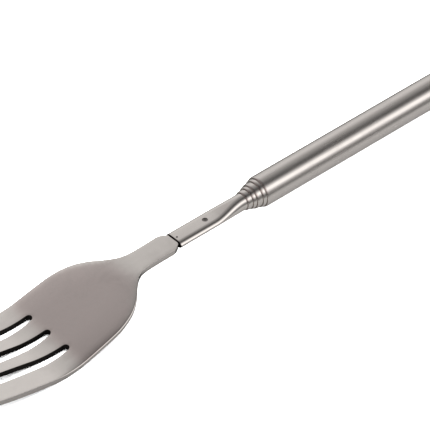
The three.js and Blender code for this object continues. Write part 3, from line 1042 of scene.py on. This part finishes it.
class FORK_OT_studio(bpy.types.Operator):
    """Lay a pale floor under the fork, light it softly and set the camera"""
    bl_idname = "fork.studio"
    bl_label = "Studio"

    def execute(self, context):
        context.scene.view_settings.view_transform = "Standard"
        self.floor(context)
        self.world(context)
        self.lamp(context)
        self.camera(context)
        return {"FINISHED"}

    def floor(self, context):
        mesh = bpy.data.meshes.new("floor")
        shape = bmesh.new()
        bmesh.ops.create_grid(shape, x_segments=8, y_segments=8, size=4)
        bmesh.ops.translate(shape, verts=shape.verts, vec=(0, 0, CAD_BOX[0].z - FLOOR_GAP))
        shape.to_mesh(mesh)
        shape.free()
        floor = add_object("floor", mesh)
        material = bpy.data.materials.new("floor")
        tree = empty_tree(material)
        paint = (*context.scene.fork_finishes.floor, 1)
        seen = node(tree, "ShaderNodeBsdfDiffuse", {"Color": paint})
        place = split(tree, node(tree, "ShaderNodeTexCoord").outputs["Object"])
        sideways = maths(tree, "ABSOLUTE", place["Y"])
        # The mirrored floor is darkened under the fork as painted shadow, and toward the head as painted
        # shade.
        beside, under = ranged(tree, sideways, *FLOOR_BESIDE), ranged(tree, sideways, *FLOOR_SHADOW_UNDER)
        ahead, behind = ranged(tree, place["X"], *FLOOR_SHADE_AHEAD), ranged(tree, place["X"], *FLOOR_BEHIND)
        grey = product(tree, beside, ahead, maths(tree, "MAXIMUM", under, behind))
        mirrored = node(tree, "ShaderNodeBsdfDiffuse", {"Color": grey})
        node(tree, "ShaderNodeOutputMaterial", {"Surface": self.by_ray(tree, seen, mirrored)})
        mesh.materials.append(material)

    def world(self, context):
        world = bpy.data.worlds.new("studio")
        world.cycles.sampling_method = "NONE"
        context.scene.world = world
        tree = empty_tree(world)
        way = split(tree, node(tree, "ShaderNodeTexCoord").outputs["Generated"])
        angle = maths(tree, "ARCTAN2", way["Z"], way["Y"])
        over = node(tree, "ShaderNodeValToRGB", {0: ranged(tree, angle, -math.pi, math.pi)})
        fill_ramp(over, [((degrees + 180) / 360, bright) for degrees, bright in STUDIO_DEGREES])
        ahead = node(tree, "ShaderNodeValToRGB", {0: ranged(tree, way["X"], -1.0, 1.0)})
        fill_ramp(ahead, [((place + 1) / 2, bright) for place, bright in STUDIO_AHEAD])
        bright = product(tree, over.outputs[0], ahead.outputs[0], STUDIO_PEAK ** 2)
        colour = mixed(tree, ranged(tree, way["X"], ROSY_FROM, ROSY_TO), (1, 1, 1), ROSY)
        around = node(tree, "ShaderNodeBackground", {"Color": colour, "Strength": bright})
        plain = node(tree, "ShaderNodeBackground", {"Color": (1, 1, 1, 1), "Strength": 3.5})
        node(tree, "ShaderNodeOutputWorld", {"Surface": self.by_ray(tree, plain, around)})

    def by_ray(self, tree, seen, mirrored):
        """One look when seen or lighting, and another when mirrored in the steel."""
        ray = node(tree, "ShaderNodeLightPath").outputs["Is Glossy Ray"]
        return node(tree, "ShaderNodeMixShader",
                    {0: ray, 1: seen.outputs[0], 2: mirrored.outputs[0]}).outputs[0]

    def lamp(self, context):
        """A wide soft lamp that brightens the floor and isn't mirrored in the steel."""
        light = bpy.data.lights.new("overhead", "AREA")
        light.shape, light.size, light.energy = "DISK", 1.6, 26
        lamp = bpy.data.objects.new("overhead", light)
        lamp.location = (0.1, 0.2, 1.5)
        lamp.rotation_euler = (math.radians(-8), math.radians(4), 0)
        lamp.visible_glossy = False
        context.scene.collection.objects.link(lamp)

    def camera(self, context):
        data = bpy.data.cameras.new("camera")
        data.sensor_width, data.lens = 36, 326.5
        data.clip_start, data.clip_end = 0.05, 20
        camera = bpy.data.objects.new("camera", data)
        azimuth, elevation = math.radians(138.407), math.radians(41.034)
        floor_of_handle = AXIS_Z - HANDLE_RADIUS
        camera.location = (MOUTH_X + 535.84 * MM, 586.55 * MM, floor_of_handle + 687.84 * MM)
        camera.rotation_euler = (math.pi / 2 - elevation, 0, azimuth)
        context.scene.collection.objects.link(camera)
        context.scene.camera = camera


class FORK_PT_panel(bpy.types.Panel):
    """Lists the pieces of the fork and their sizes"""
    bl_idname = "FORK_PT_panel"
    bl_label = "Telescopic fork"
    bl_space_type = "VIEW_3D"
    bl_region_type = "UI"
    bl_category = "Telescopic fork"

    def draw(self, context):
        for operator in OPERATORS:
            self.layout.operator(operator.bl_idname)
        for name, group in SETTINGS.items():
            column = self.layout.column(align=True)
            for label in group.__annotations__:
                column.prop(getattr(context.scene, name), label)


OPERATORS = (
    FORK_OT_studio, FORK_OT_handle, FORK_OT_stages, FORK_OT_springs, FORK_OT_socket, FORK_OT_head)
CLASSES = (*SETTINGS.values(), *OPERATORS, FORK_PT_panel)


def register():
    for kind in CLASSES:
        bpy.utils.register_class(kind)
    for name, group in SETTINGS.items():
        setattr(bpy.types.Scene, name, PointerProperty(type=group))


def unregister():
    for name in SETTINGS:
        delattr(bpy.types.Scene, name)
    for kind in reversed(CLASSES):
        bpy.utils.unregister_class(kind)


def main():
    register()
    bpy.ops.fork.studio()
    bpy.ops.fork.handle()
    bpy.ops.fork.stages()
    bpy.ops.fork.springs()
    bpy.ops.fork.socket()
    bpy.ops.fork.head()


if __name__ == "__main__":
    main()
